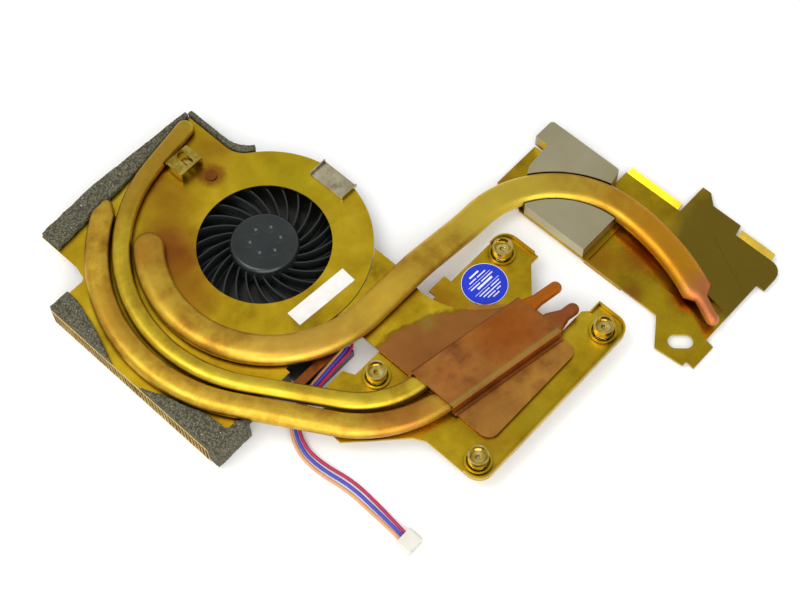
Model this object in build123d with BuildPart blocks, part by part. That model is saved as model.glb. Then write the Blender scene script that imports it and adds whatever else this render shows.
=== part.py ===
from build123d import *
import os
from math import atan2, cos, degrees, radians, sin, sqrt, tan

# Laptop cooling fan heatsink. Millimetres and degrees.
# Origin on the fan axis at the underside of the tray, X to the right, Y to the rear, Z up.

# Fan housing
tray_height = 7.0
tray_floor = 1.0
tray_wall = 1.0
cover_sheet = 0.5
fan_radius = 30.0
cover_overhang = 0.5
inlet_radius = 19.0
flare_radius = 8.0
left_face = -54.0
left_front = -33.0
left_rear = 28.5
rear_face = 47.5
rear_left = -40.3
right_side = 15.2
notch_depth = 4.5
notch_run = 1.2
notch_round = 1.5
notch_recess = 2.8
front_step_x = -23.5
front_step_y = -31.5
cover_top = tray_height + cover_sheet

# Fin stacks
fin_depth = 9.0
fin_sheet = 0.3
fin_pitch = 1.3
fin_skin = 0.4
left_inner = left_face + fin_depth
rear_inner = rear_face - fin_depth
rear_fin_left = rear_left + notch_recess

# Rotor and motor
hub_radius = 9.75
hub_wall = 1.1
hub_top = tray_height + 1.4
hub_round = 1.4
dimple_count = 6
dimple_ring = 4.3
dimple_radius = 1.2
dimple_depth = 0.35
dimple_phase = 23.0
blade_count = 25
blade_reach = 25.5
blade_sweep = 42.0
blade_phase = 2.3
blade_sheet = 0.5
blade_room = 0.8
rotor_lift = 1.9
shaft_radius = 1.0
shaft_room = 0.03
sleeve_radius = 2.4
boss_radius = 3.2
boss_top = 4.6
yoke_sheet = 0.5
magnet_sheet = 0.9
air_gap = 0.5
board_sheet = 0.6
pole_count = 6
motor_room = 0.2

# Heat pipes: width and thickness after flattening, and the bends from the fan to the chips
outer_width = 6.9
middle_width = 5.4
pipe_thick = 3.6
gpu_width = 8.8
gpu_thick = 3.8
tip_width = 3.7
tip_thick = 2.8
tip_taper = 4.0
saddle_heading = -10.0
drop_radius = 25.0
drop_angle = 12.0
solder_gap = 0.05
pipe_room = 0.4

# Processor plate, slug and saddle
cpu_sheet = 0.8
slug_proud = 1.1
slug_thick = 3.5
slug_left = -2.6
slug_right = 33.3
slug_rear = -55.0
slug_corner_x = 24.2
slug_corner_y = -65.0
slug_front = -85.5
slug_round = 3.2
saddle_sheet = 0.5
saddle_lip = 0.9
bridge_sheet_thick = 0.6
bridge_left = -2.7
bridge_waist = 18.0
bridge_right = 32.4
bridge_lap = 0.5
bridge_room = 0.25
cpu_rear = -46.0
cpu_front = -91.7
cpu_left = -13.3
cpu_right = 48.6
cpu_round = 4.5
cpu_rim = 1.3
rim_sheet = 0.5
rim_reach = 6.0
rim_run = 11.4
cpu_top = cover_top - slug_proud

# Captive screws
screw_x = 17.0
screw_y = -68.6
screw_span_x = 51.0
screw_span_y = 36.0
well_radius = 3.2
well_depth = 1.4
well_sheet = 0.6
well_lip = 0.7
well_hole = 1.7
spring_length = 3.0
spring_wire = 0.45
spring_turns = 3
head_radius = 2.85
head_height = 2.6
shank_radius = 1.4
thread_radius = 1.0
ring_radius = 2.4
ring_sheet = 0.5
ring_room = 0.03
tip_height = 0.6

# Second plate and chipset block
gpu_sheet = 0.8
pan_depth = 0.9
pan_left = 66.6
pan_step = -79.7
pan_rear = -68.0
pan_front = -105.6
gpu_left = 58.6
gpu_front = -107.8
gpu_pipe_rise = 3.2
gpu_flange = 1.9
flange_turn = 25.0
block_top = 6.2
ear_x = 56.6
ear_y = -102.9
ear_slot = 7.0
ear_hole = 2.15
ear_turn = -49.0
ear_bend = 0.8
gpu_top = pan_depth + gpu_sheet

# Foam, labels, clips and lead
foam_height = 2.0
label_sheet = 0.12
round_label = 6.5
clip_sheet = 0.3
clip_width = 6.0
clip_length = 12.6
wire_diameter = 0.95
wire_sides = 8
wire_pitch = 1.0
ledge_height = 3.5

os.makedirs("parts", exist_ok=True)


def save(piece, name):
    piece.part.label = name
    export_step(piece.part, f"parts/{name}.step")


def polar(radius, angle):
    return (radius * cos(radians(angle)), radius * sin(radians(angle)))


# Lay a flattened pipe into the open part, move by move, from a start point and a heading in plan.
def lay_pipe(start, heading, width, thick, moves, widen=0.0):
    at = Vector(*start)
    way = Vector(*polar(1.0, heading), 0)
    up = Vector(0, 0, 1)
    for move, *sizes in moves:
        side = way.cross(up)
        with BuildSketch(Plane(origin=at, x_dir=side, z_dir=way)) as section:
            SlotOverall(width + 2 * widen, thick)
        if move == "cap":
            with BuildSketch(Plane(origin=at, x_dir=side, z_dir=way)) as half_section:
                add(section.sketch_local)
                Rectangle(width + 2 * widen, thick, align=(Align.MAX, Align.CENTER), mode=Mode.SUBTRACT)
            revolve(half_section.sketch.face(), axis=Axis(at, up), revolution_arc=sizes[0])
        elif move == "run":
            extrude(section.sketch.face(), amount=sizes[0])
            at = at + way * sizes[0]
        elif move == "neck":
            length, width, thick = sizes
            at = at + way * length
            with BuildSketch(Plane(origin=at, x_dir=side, z_dir=way)) as next_section:
                SlotOverall(width + 2 * widen, thick)
            loft([section.sketch.face(), next_section.sketch.face()])
        else:
            radius, angle = sizes
            turns = {
                "left": (at - side * radius, up),
                "right": (at + side * radius, up * -1),
                "down": (at - up * radius, side * -1),
                "up": (at + up * radius, side),
            }
            centre, spin = turns[move]
            axis = Axis(centre, spin)
            revolve(section.sketch.face(), axis=axis, revolution_arc=angle)
            at = centre + (at - centre).rotate(axis, angle)
            way = way.rotate(axis, angle)
            up = up.rotate(axis, angle)


# Outline of the housing seen from above: the round fan, the two air outlets and the flared side.
def housing_outline(radius, left, rear, notch_x):
    with BuildSketch() as outline:
        with BuildLine():
            Polyline(
                (left, left_front), (left, left_rear), (notch_x - notch_run, left_rear),
                (notch_x, left_rear + notch_depth), (notch_x, rear), (right_side, rear),
                (right_side, 0), (0, -inlet_radius), (0, 1 - fan_radius),
                (front_step_x, front_step_y), (front_step_x, left_front), close=True)
        make_face()
        Circle(radius)
        flare = (right_side, sqrt(radius**2 - right_side**2), 0)
        fillet(outline.vertices().sort_by_distance(flare)[0], flare_radius)
        notch = (notch_x - notch_run, left_rear, 0)
        fillet(outline.vertices().sort_by_distance(notch)[0], notch_round)
    return outline.sketch


# Fan tray: floor, side wall, bearing boss and the ledge that carries the lead
wire_exit = (-2.0, solder_gap - fan_radius)
wire_gate = (4.0, 3.0, 1.4)
ledge_left = -22.6
ledge_right = -6.0
ledge_front = -39.7
tray_outline = housing_outline(fan_radius, left_inner, rear_inner, rear_fin_left)
with BuildPart() as fan_tray:
    add(tray_outline)
    extrude(amount=tray_height)
    with BuildSketch(Plane.XY.offset(tray_floor)):
        add(tray_outline)
        offset(amount=-tray_wall, mode=Mode.REPLACE)
        with Locations((left_inner, (left_front + left_rear) / 2)):
            Rectangle(4 * tray_wall, left_rear - left_front - 2 * tray_wall)
        with Locations(((rear_fin_left + right_side) / 2, rear_inner)):
            Rectangle(right_side - rear_fin_left - 2 * tray_wall, 4 * tray_wall)
    extrude(amount=tray_height, mode=Mode.SUBTRACT)
    with Locations((right_side - tray_wall / 2, (rear_inner + rear_face) / 2, tray_height / 2)):
        Box(tray_wall, fin_depth, tray_height)
    with Locations(((ledge_left + ledge_right) / 2, (ledge_front + front_step_y) / 2, ledge_height / 2)):
        Box(ledge_right - ledge_left, front_step_y - ledge_front, ledge_height)
    with Locations((wire_exit[0], wire_exit[1], ledge_height)):
        Box(*wire_gate, align=(Align.CENTER, Align.CENTER, Align.MIN), mode=Mode.SUBTRACT)
    with Locations((0, 0, tray_floor)):
        Cylinder(boss_radius, boss_top - tray_floor, align=(Align.CENTER, Align.CENTER, Align.MIN))
        Cylinder(sleeve_radius, boss_top, align=(Align.CENTER, Align.CENTER, Align.MIN), mode=Mode.SUBTRACT)
save(fan_tray, "fan_tray")

# Fan cover: brass sheet over the tray and both fin stacks, with the round inlet
rivet_x = 5.6
rivet_y = 26.9
rivet_shank = 0.9
with BuildPart() as fan_cover:
    with BuildSketch(Plane.XY.offset(tray_height)):
        add(housing_outline(fan_radius + cover_overhang, left_face, rear_face, rear_left))
        Circle(inlet_radius, mode=Mode.SUBTRACT)
        with Locations((rivet_x, rivet_y)):
            Circle(rivet_shank, mode=Mode.SUBTRACT)
    extrude(amount=cover_sheet)
save(fan_cover, "fan_cover")

# Impeller: hub cup with backward swept blades
with BuildSketch() as blade:
    with BuildLine():
        root, middle = hub_radius - hub_wall / 2, (hub_radius + blade_reach) / 2
        for spread in (0, 1):
            ThreePointArc(*[polar(r, turn * blade_sweep + spread * degrees(blade_sheet / r))
                            for r, turn in ((root, 0), (middle, 0.56), (blade_reach, 1))])
        for r, turn in ((root, 0), (blade_reach, 1)):
            Line(polar(r, turn * blade_sweep), polar(r, turn * blade_sweep + degrees(blade_sheet / r)))
    make_face()
blade_top = tray_height - blade_room
with BuildPart() as impeller:
    with Locations((0, 0, rotor_lift)):
        Cylinder(hub_radius, hub_top - rotor_lift, align=(Align.CENTER, Align.CENTER, Align.MIN))
    fillet(impeller.edges().group_by(Axis.Z)[-1], hub_round)
    with BuildSketch(Plane.XY.offset(rotor_lift)):
        with PolarLocations(0, blade_count, start_angle=blade_phase):
            add(blade.sketch)
    extrude(amount=blade_top - rotor_lift)
    with Locations((0, 0, rotor_lift)):
        Cylinder(hub_radius - hub_wall, hub_top - rotor_lift - hub_wall,
                 align=(Align.CENTER, Align.CENTER, Align.MIN), mode=Mode.SUBTRACT)
    dimple_ball = (dimple_radius**2 + dimple_depth**2) / (2 * dimple_depth)
    with Locations((0, 0, hub_top + dimple_ball - dimple_depth)):
        with PolarLocations(dimple_ring, dimple_count, start_angle=dimple_phase):
            Sphere(dimple_ball, mode=Mode.SUBTRACT)
save(impeller, "impeller")

# Steel yoke cup inside the hub
yoke_radius = hub_radius - hub_wall
yoke_top = hub_top - hub_wall
with BuildPart() as rotor_yoke:
    with Locations((0, 0, rotor_lift)):
        Cylinder(yoke_radius, yoke_top - rotor_lift, align=(Align.CENTER, Align.CENTER, Align.MIN))
        Cylinder(yoke_radius - yoke_sheet, yoke_top - rotor_lift - yoke_sheet,
                 align=(Align.CENTER, Align.CENTER, Align.MIN), mode=Mode.SUBTRACT)
        Cylinder(shaft_radius, tray_height, align=(Align.CENTER, Align.CENTER, Align.MIN), mode=Mode.SUBTRACT)
save(rotor_yoke, "rotor_yoke")

# Ring magnet inside the yoke
magnet_radius = yoke_radius - yoke_sheet
with BuildPart() as rotor_magnet:
    with BuildSketch(Plane.XY.offset(rotor_lift)):
        Circle(magnet_radius)
        Circle(magnet_radius - magnet_sheet, mode=Mode.SUBTRACT)
    extrude(amount=yoke_top - yoke_sheet - rotor_lift - 2 * motor_room)
save(rotor_magnet, "rotor_magnet")

# Shaft, from the thrust gap over the tray floor to the top of the yoke
shaft_foot = tray_floor + motor_room
with BuildPart() as rotor_shaft:
    with Locations((0, 0, shaft_foot)):
        Cylinder(shaft_radius, yoke_top - shaft_foot, align=(Align.CENTER, Align.CENTER, Align.MIN))
save(rotor_shaft, "rotor_shaft")

# Bearing sleeve in the boss
with BuildPart() as bearing_sleeve:
    with BuildSketch(Plane.XY.offset(tray_floor)):
        Circle(sleeve_radius)
        Circle(shaft_radius + shaft_room, mode=Mode.SUBTRACT)
    extrude(amount=boss_top - tray_floor - motor_room)
save(bearing_sleeve, "bearing_sleeve")

# Circuit board on the tray floor
with BuildPart() as motor_board:
    with BuildSketch(Plane.XY.offset(tray_floor)):
        Circle(hub_radius - hub_wall)
        Circle(boss_radius, mode=Mode.SUBTRACT)
    extrude(amount=board_sheet)
save(motor_board, "motor_board")

# Laminated stator on the boss
stator_radius = magnet_radius - magnet_sheet - air_gap
stator_foot = tray_floor + board_sheet + 3 * motor_room
stator_top = boss_top - 2 * motor_room
pole_stem = 1.4
pole_middle = (boss_radius + stator_radius) / 2 + 0.2
with BuildPart() as stator_core:
    with BuildSketch(Plane.XY.offset(stator_foot)):
        Circle(boss_radius + 1.0)
        with PolarLocations(pole_middle, pole_count):
            Rectangle(stator_radius - boss_radius - 1.0, pole_stem)
        with PolarLocations(stator_radius - 0.6, pole_count):
            Rectangle(1.2, stator_radius * 0.55)
        Circle(stator_radius, mode=Mode.INTERSECT)
        Circle(boss_radius, mode=Mode.SUBTRACT)
    extrude(amount=stator_top - stator_foot)
save(stator_core, "stator_core")

# One winding round each pole
coil_wall = 0.45
coil_deep = stator_radius - boss_radius - 2.4
with BuildPart() as stator_coils:
    with PolarLocations(boss_radius + 1.1 + coil_deep / 2, pole_count):
        with Locations((0, 0, (stator_foot + stator_top) / 2)):
            Box(coil_deep, pole_stem + 2 * coil_wall, stator_top - stator_foot + 2 * coil_wall)
            Box(coil_deep, pole_stem, stator_top - stator_foot, mode=Mode.SUBTRACT)
save(stator_coils, "stator_coils")


# Fin stack: a block of thin sheets with the air ways cut through it, laid along X
def fin_block(length):
    count = int((length - fin_sheet) / fin_pitch)
    Box(length, fin_depth, tray_height)
    with GridLocations(fin_pitch, 1, count, 1):
        Box(fin_pitch - fin_sheet, fin_depth, tray_height - 2 * fin_skin, mode=Mode.SUBTRACT)


with BuildPart() as rear_fins:
    rear_right = right_side - tray_wall
    with Locations(((rear_fin_left + rear_right) / 2, rear_face - fin_depth / 2, tray_height / 2)):
        fin_block(rear_right - rear_fin_left)
save(rear_fins, "rear_fins")

with BuildPart() as left_fins:
    middle_spot = (left_face + fin_depth / 2, (left_front + left_rear) / 2, tray_height / 2)
    with Locations(Location(middle_spot, (0, 0, 90))):
        fin_block(left_rear - left_front)
save(left_fins, "left_fins")

# Outer heat pipe: half round the fan, straight, then in over the slug
outer_centre = (2.0, -3.5)
outer_bend = 50.0
outer_turn = 89.0
outer_begin = 122.0
outer_nose = 3.0
outer_side_run = 27.1
outer_chip_bend = 36.0
outer_chip_run = 37.0
outer_tip_run = 2.8
outer_lead = polar(outer_nose, outer_begin - 90)
outer_start = (outer_centre[0] + polar(outer_bend, outer_begin)[0] + outer_lead[0],
               outer_centre[1] + polar(outer_bend, outer_begin)[1] + outer_lead[1],
               cover_top + pipe_thick / 2)
outer_moves = [
    ("cap", -180), ("neck", outer_nose, outer_width, pipe_thick), ("left", outer_bend, outer_turn),
    ("run", outer_side_run), ("left", outer_chip_bend, 270 + saddle_heading - outer_begin - outer_turn),
    ("run", outer_chip_run), ("neck", tip_taper, tip_width, tip_thick), ("run", outer_tip_run), ("cap", 180),
]
with BuildPart() as pipe_outer:
    lay_pipe(outer_start, outer_begin + 90, tip_width, tip_thick, outer_moves)
save(pipe_outer, "pipe_outer")

# Middle heat pipe: inside the outer one, with its rounded end at the rear fin stack
middle_centre = (4.0, -4.0)
middle_bend = 45.1
middle_turn = 112.0
middle_begin = 100.0
middle_run = 14.9
middle_side_run = 25.5
middle_chip_bend = 25.5
middle_chip_run = 36.8
middle_tip_run = 6.2
middle_lead = polar(middle_run, middle_begin - 90)
middle_start = (middle_centre[0] + polar(middle_bend, middle_begin)[0] + middle_lead[0],
                middle_centre[1] + polar(middle_bend, middle_begin)[1] + middle_lead[1],
                cover_top + pipe_thick / 2)
middle_moves = [
    ("cap", -180), ("run", middle_run), ("left", middle_bend, middle_turn), ("run", middle_side_run),
    ("left", middle_chip_bend, 270 + saddle_heading - middle_begin - middle_turn),
    ("run", middle_chip_run), ("neck", tip_taper, tip_width, tip_thick), ("run", middle_tip_run), ("cap", 180),
]
with BuildPart() as pipe_middle:
    lay_pipe(middle_start, middle_begin + 90, middle_width, pipe_thick, middle_moves)
save(pipe_middle, "pipe_middle")

# Second plate's heat pipe: round the inlet, across, down to the plate and round the block
gpu_bend = 35.3
gpu_turn = 132.0
gpu_corner = 30.0
gpu_corner_x = 47.2
gpu_level_end = 20.5
gpu_last_bend = 70.0
gpu_last_turn = 26.0
gpu_taper = 2.4
gpu_tip_run = 6.8
gpu_begin = 270 - gpu_turn
gpu_centre = (3.2, -1.6)
gpu_drop = cover_top - gpu_pipe_rise
gpu_slope = (gpu_drop - 2 * drop_radius * (1 - cos(radians(drop_angle)))) / sin(radians(drop_angle))
gpu_slope_reach = 2 * drop_radius * sin(radians(drop_angle)) + gpu_slope * cos(radians(drop_angle))
gpu_start = (gpu_centre[0] + polar(gpu_bend, gpu_begin)[0], gpu_centre[1] + polar(gpu_bend, gpu_begin)[1],
             cover_top + gpu_thick / 2)
gpu_moves = [
    ("cap", -180), ("left", gpu_bend, gpu_turn),
    ("run", gpu_level_end - gpu_centre[0]), ("down", drop_radius, drop_angle), ("run", gpu_slope),
    ("up", drop_radius, drop_angle), ("run", gpu_corner_x - gpu_level_end - gpu_slope_reach),
    ("right", gpu_corner, 90.0), ("right", gpu_last_bend, gpu_last_turn),
    ("neck", gpu_taper, tip_width, tip_thick), ("run", gpu_tip_run), ("cap", 180),
]
with BuildPart() as pipe_gpu:
    lay_pipe(gpu_start, gpu_begin + 90, gpu_width, gpu_thick, gpu_moves)
save(pipe_gpu, "pipe_gpu")

# Room round the outer and middle pipes, for the foam
with BuildPart() as pipe_space:
    lay_pipe(outer_start, outer_begin + 90, tip_width, tip_thick, outer_moves[:4], pipe_room)
    lay_pipe(middle_start, middle_begin + 90, middle_width, pipe_thick, middle_moves[:3], pipe_room)

# Room round the second plate's pipe, open upwards, for the block
with BuildPart() as block_space:
    for rise in (0, gpu_thick / 2):
        start = (gpu_start[0], gpu_start[1], gpu_start[2] + rise)
        lay_pipe(start, gpu_begin + 90, gpu_width, gpu_thick, gpu_moves[:9], pipe_room)

# Outline of the processor plate, with the notch at the pipe tips
with BuildSketch() as cpu_outline:
    with BuildLine():
        Polyline(
            (-11.9, cpu_rear), (-13.4, cpu_rear + 3.3), (-22.0, cpu_rear + 3.3), (-28.7, -52.0), (-28.7, -56.5),
            (-23.0, -62.0), (-15.0, -69.6), (cpu_left, -73.0), (cpu_left, cpu_front), (cpu_right, cpu_front),
            (cpu_right, -80.2), (45.2, -80.2), (43.4, -78.4), (35.5, -78.4), (35.5, -67.5), (45.6, -58.6),
            (cpu_right, -58.6), (cpu_right, cpu_rear), (26.4, cpu_rear), (26.4, cpu_rear + 2.5),
            (20.2, cpu_rear + 2.5), (20.2, cpu_rear), close=True)
    make_face()
    corners = [(cpu_left, cpu_front), (cpu_right, cpu_front), (cpu_right, cpu_rear)]
    fillet([cpu_outline.vertices().sort_by_distance((x, y, 0))[0] for x, y in corners], cpu_round)

# Outline of the slug, with one corner cut off under the edge of the bridge sheet
with BuildSketch() as slug_outline:
    with BuildLine():
        Polyline((slug_left, slug_front), (slug_left, slug_rear), (slug_corner_x, slug_rear),
                 (slug_right, slug_corner_y), (slug_right, slug_front), close=True)
    make_face()
    fillet(slug_outline.vertices().group_by(Axis.Y)[0], slug_round)

# Processor plate: sheet with a window for the slug, four drawn wells and upturned rims
screw_spots = [(screw_x + side * screw_span_x / 2, screw_y + end * screw_span_y / 2)
               for side, end in ((-1, 1), (1, 1), (1, -1), (-1, -1))]
well_floor = cpu_top - well_depth
with BuildPart() as cpu_plate:
    with BuildSketch(Plane.XY.offset(cpu_top - cpu_sheet)):
        add(cpu_outline.sketch)
        offset(slug_outline.sketch, amount=solder_gap, mode=Mode.SUBTRACT)
    extrude(amount=cpu_sheet)
    with BuildSketch(Plane.XY.offset(cpu_top)):
        add(cpu_outline.sketch)
        offset(cpu_outline.sketch, amount=-rim_sheet, mode=Mode.SUBTRACT)
        with BuildSketch(mode=Mode.PRIVATE) as rims:
            with Locations((cpu_right, cpu_rear), (cpu_right, cpu_front)):
                Rectangle(2 * rim_reach, 2 * rim_run)
            with Locations(((cpu_left + cpu_right) / 2, cpu_front)):
                Rectangle(cpu_right - cpu_left, 2 * rim_reach)
        add(rims.sketch, mode=Mode.INTERSECT)
    extrude(amount=cpu_rim)
    with BuildSketch(Plane.XY.offset(well_floor - well_sheet)):
        with Locations(*screw_spots):
            Circle(well_radius + well_sheet)
    extrude(amount=well_depth + well_sheet + well_lip)
    with BuildSketch(Plane.XY.offset(well_floor)):
        with Locations(*screw_spots):
            Circle(well_radius)
    extrude(amount=well_depth + well_lip, mode=Mode.SUBTRACT)
    with BuildSketch(Plane.XY.offset(well_floor)):
        with Locations(*screw_spots):
            Circle(well_hole)
    extrude(amount=-well_sheet, mode=Mode.SUBTRACT)
save(cpu_plate, "cpu_plate")


# Point where the last straight run of a pipe begins, over the slug
def chip_point(centre, bend, begin, turn, run, chip_bend):
    angle = begin + turn
    x = centre[0] + polar(bend, angle)[0] + polar(run, angle + 90)[0]
    y = centre[1] + polar(bend, angle)[1] + polar(run, angle + 90)[1]
    x = x + polar(chip_bend, angle + 180)[0] + polar(chip_bend, saddle_heading - 90)[0]
    y = y + polar(chip_bend, angle + 180)[1] + polar(chip_bend, saddle_heading - 90)[1]
    return x, y


middle_in = chip_point(middle_centre, middle_bend, middle_begin, middle_turn, middle_side_run, middle_chip_bend)
outer_in = chip_point(outer_centre, outer_bend, outer_begin, outer_turn, outer_side_run, outer_chip_bend)
chip_way = Vector(*polar(1.0, saddle_heading), 0)
chip_left = Vector(*polar(1.0, saddle_heading + 90), 0)
pipe_step = (Vector(*middle_in) - Vector(*outer_in)).dot(chip_left)

# Saddle: sheet folded over both pipes, its edges standing on the slug
saddle_left = slug_left - 0.6
saddle_right = slug_right - 0.4
saddle_plane = Plane(origin=(*outer_in, cover_top), x_dir=chip_left, z_dir=chip_way).offset(-8)
saddle_rear = pipe_step + middle_width / 2 + solder_gap
saddle_front = -outer_width / 2 - solder_gap
saddle_inside = pipe_thick + solder_gap
with BuildPart() as pipe_saddle:
    with BuildSketch(saddle_plane):
        with BuildLine():
            Polyline(
                (saddle_rear, 0), (saddle_rear + saddle_sheet + saddle_lip, 0),
                (saddle_rear + saddle_sheet + saddle_lip, saddle_sheet), (saddle_rear + saddle_sheet, saddle_sheet),
                (saddle_rear + saddle_sheet, saddle_inside), (saddle_rear, saddle_inside + saddle_sheet),
                (saddle_front, saddle_inside + saddle_sheet), (saddle_front - saddle_sheet, saddle_inside),
                (saddle_front - saddle_sheet, saddle_sheet),
                (saddle_front - saddle_sheet - saddle_lip, saddle_sheet),
                (saddle_front - saddle_sheet - saddle_lip, 0), (saddle_front, 0),
                (saddle_front, saddle_inside), (saddle_rear, saddle_inside), close=True)
        make_face()
    extrude(amount=60)
    split(bisect_by=Plane.YZ.offset(saddle_left), keep=Keep.TOP)
    split(bisect_by=Plane.YZ.offset(saddle_right), keep=Keep.BOTTOM)
save(pipe_saddle, "pipe_saddle")


# Front edge of the bridge sheet at a place along X: it laps under the rear lip of the saddle
def bridge_front(x):
    lap = saddle_rear + saddle_sheet + saddle_lip - bridge_lap
    heading = radians(saddle_heading)
    return outer_in[1] + (x - outer_in[0]) * tan(heading) + lap / cos(heading)


# Contact slug through the window of the plate, stepped down where the bridge sheet lies on it
bridge_shoulder = (19.6, -32.0)
bridge_swoop = ((bridge_waist, -44.0), (23.3, -56.6), (bridge_right, bridge_front(bridge_right)))
with BuildSketch() as bridge_outline:
    with BuildLine():
        Polyline(bridge_swoop[2], (bridge_left, bridge_front(bridge_left)), (bridge_left, -inlet_radius),
                 (bridge_shoulder[0], -inlet_radius), bridge_shoulder, (bridge_waist, -42.0), bridge_swoop[0])
        ThreePointArc(*bridge_swoop)
    make_face()
    Circle(fan_radius + cover_overhang + bridge_room, mode=Mode.SUBTRACT)
with BuildPart() as cpu_slug:
    with BuildSketch(Plane.XY.offset(cover_top - slug_thick)):
        add(slug_outline.sketch)
    extrude(amount=slug_thick)
    with BuildSketch(Plane.XY.offset(cover_top)):
        add(bridge_outline.sketch)
        offset(amount=solder_gap, mode=Mode.REPLACE)
    extrude(amount=-bridge_sheet_thick, mode=Mode.SUBTRACT)
save(cpu_slug, "cpu_slug")

# Bridge sheet from the slug under the second plate's pipe to the fan
with BuildPart() as bridge_sheet:
    with BuildSketch(Plane.XY.offset(cover_top - bridge_sheet_thick)):
        add(bridge_outline.sketch)
    extrude(amount=bridge_sheet_thick)
save(bridge_sheet, "bridge_sheet")

# Pan pressed into the second plate: wide behind the step, then only under the pipe
pan_bend_y = gpu_centre[1] - gpu_bend - gpu_corner
pan_bend_x = gpu_corner_x + gpu_corner
with BuildSketch() as pan_outline:
    with BuildLine():
        Polyline(
            (gpu_left + gpu_sheet, pan_rear), (gpu_left + gpu_sheet, pan_step), (pan_left, pan_step),
            (pan_left, -96.0), (pan_left - 1.4, pan_front), (pan_left + 5.5, pan_front), (73.4, -97.0),
            (pan_bend_x + 0.8, -86.0), (pan_bend_x + 3.2, pan_rear), close=True)
    make_face()

# Second plate: flat sheet with the pan, two edges bent up, a tab, a crease and a screw ear with a lip
rear_bend = 89.2
side_bend = 93.6
flange_runs = ((rear_bend, -76.6, -58.2), (side_bend, -106.0, -94.4))
ear_right = 61.6
ear_front = -110.4
crease_ends = ((88.7, -89.8), (79.9, -106.8))
with BuildPart() as gpu_plate:
    with BuildSketch(Plane.XY.offset(pan_depth)) as gpu_outline:
        with BuildLine():
            Polyline(
                (gpu_left, -93.0), (gpu_left, -43.4), (61.5, -39.0), (61.5, -32.6), (78.2, -32.6), (78.2, -37.0),
                (84.0, -40.0), (84.0, -57.8), (rear_bend, -57.8), (rear_bend, -77.3), (100.0, -77.3),
                (100.0, -80.2), (97.0, -83.3), (97.0, -93.0), (side_bend, -93.8), (side_bend, ear_front),
                (84.7, ear_front), (84.7, gpu_front), (ear_right, gpu_front), (51.3, gpu_front), (50.4, -98.8),
                close=True)
        make_face()
        fillet(gpu_outline.vertices().sort_by_distance((side_bend, ear_front, pan_depth))[0], 4.0)
        with Locations(Location((ear_x, ear_y), ear_turn)):
            SlotOverall(ear_slot, 2 * ear_hole, mode=Mode.SUBTRACT)
        add(pan_outline.sketch, mode=Mode.SUBTRACT)
    extrude(amount=gpu_sheet)
    with BuildSketch():
        offset(pan_outline.sketch, amount=gpu_sheet, kind=Kind.INTERSECTION)
    extrude(amount=gpu_top)
    with BuildSketch(Plane.XY.offset(gpu_sheet)):
        add(pan_outline.sketch)
    extrude(amount=gpu_top, mode=Mode.SUBTRACT)
    flange_rise = gpu_flange * tan(radians(flange_turn))
    for bend_x, front, rear in flange_runs:
        with BuildSketch(Plane.XZ.offset(-rear)):
            with BuildLine():
                Polyline((bend_x - gpu_sheet, pan_depth), (bend_x, pan_depth),
                         (bend_x + gpu_flange, pan_depth + flange_rise),
                         (bend_x + gpu_flange, gpu_top + flange_rise), (bend_x, gpu_top),
                         (bend_x - gpu_sheet, gpu_top), close=True)
            make_face()
        extrude(amount=rear - front)
    with BuildSketch(Plane.YZ.offset(ear_right)):
        with BuildLine():
            Polyline((gpu_front, pan_depth), (gpu_front, gpu_top), (ear_front, gpu_top - ear_bend),
                     (ear_front, pan_depth - ear_bend), close=True)
        make_face()
    extrude(amount=53.0 - ear_right)
    crease = Vector(*crease_ends[1]) - Vector(*crease_ends[0])
    crease_middle = (Vector(*crease_ends[0]) + Vector(*crease_ends[1])) * 0.5
    crease_angle = degrees(atan2(crease.Y, crease.X))
    with Locations(Location((crease_middle.X, crease_middle.Y, gpu_top), (0, 0, crease_angle))):
        Box(crease.length, gpu_sheet / 2, gpu_sheet / 4, mode=Mode.SUBTRACT)
save(gpu_plate, "gpu_plate")

# Copper pad between the pan and the pipe, hidden under the pipe
pad_turn = 13.0
with BuildPart() as gpu_pad:
    with BuildSketch(Plane.XY.offset(gpu_sheet)):
        with Locations(Location((pan_bend_x - gpu_last_bend * (1 - cos(radians(pad_turn))),
                                 pan_bend_y - gpu_last_bend * sin(radians(pad_turn))), -pad_turn)):
            RectangleRounded(gpu_width / 2, 18.0, 1.0)
    extrude(amount=gpu_pipe_rise - gpu_sheet)
save(gpu_pad, "gpu_pad")

# Chipset block: on the plate, with the groove that the pipe lies in
block_left = 58.8
block_right = 86.0
block_rear = -32.2
block_front = -66.4
with BuildPart() as chipset_block:
    with BuildSketch(Plane.XY.offset(gpu_top)):
        with BuildLine():
            Polyline(
                (block_left, block_front), (block_left, -45.0), (62.0, -41.5), (69.6, -37.4), (78.7, -36.5),
                (78.7, block_rear), (block_right, block_rear), (block_right, -57.4), (80.5, -58.5),
                (76.0, block_front), close=True)
        make_face()
    extrude(amount=block_top - gpu_top)
    fillet(chipset_block.edges().filter_by(Axis.Z).group_by(Axis.X)[-1], 1.2)
    add(block_space.part, mode=Mode.SUBTRACT)
save(chipset_block, "chipset_block")

# Thermal pad under the block
with BuildPart() as chipset_pad:
    with Locations(((block_left + block_right) / 2 - 2, -54.0, 0)):
        Box(16.0, 16.0, pan_depth, align=(Align.CENTER, Align.CENTER, Align.MIN))
save(chipset_pad, "chipset_pad")

# Foam along the rear edge, cut to the pipes
with BuildPart() as rear_foam:
    with BuildSketch(Plane.XY.offset(cover_top)):
        with BuildLine():
            Polyline(
                (rear_left, 40.3), (rear_left, rear_face), (-20.0, rear_face + 1.2), (right_side, rear_face),
                (right_side, 45.9), (-4.0, 43.0), (-15.7, 42.3), close=True)
        make_face()
    extrude(amount=foam_height)
    add(pipe_space.part, mode=Mode.SUBTRACT)
save(rear_foam, "rear_foam")

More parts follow.
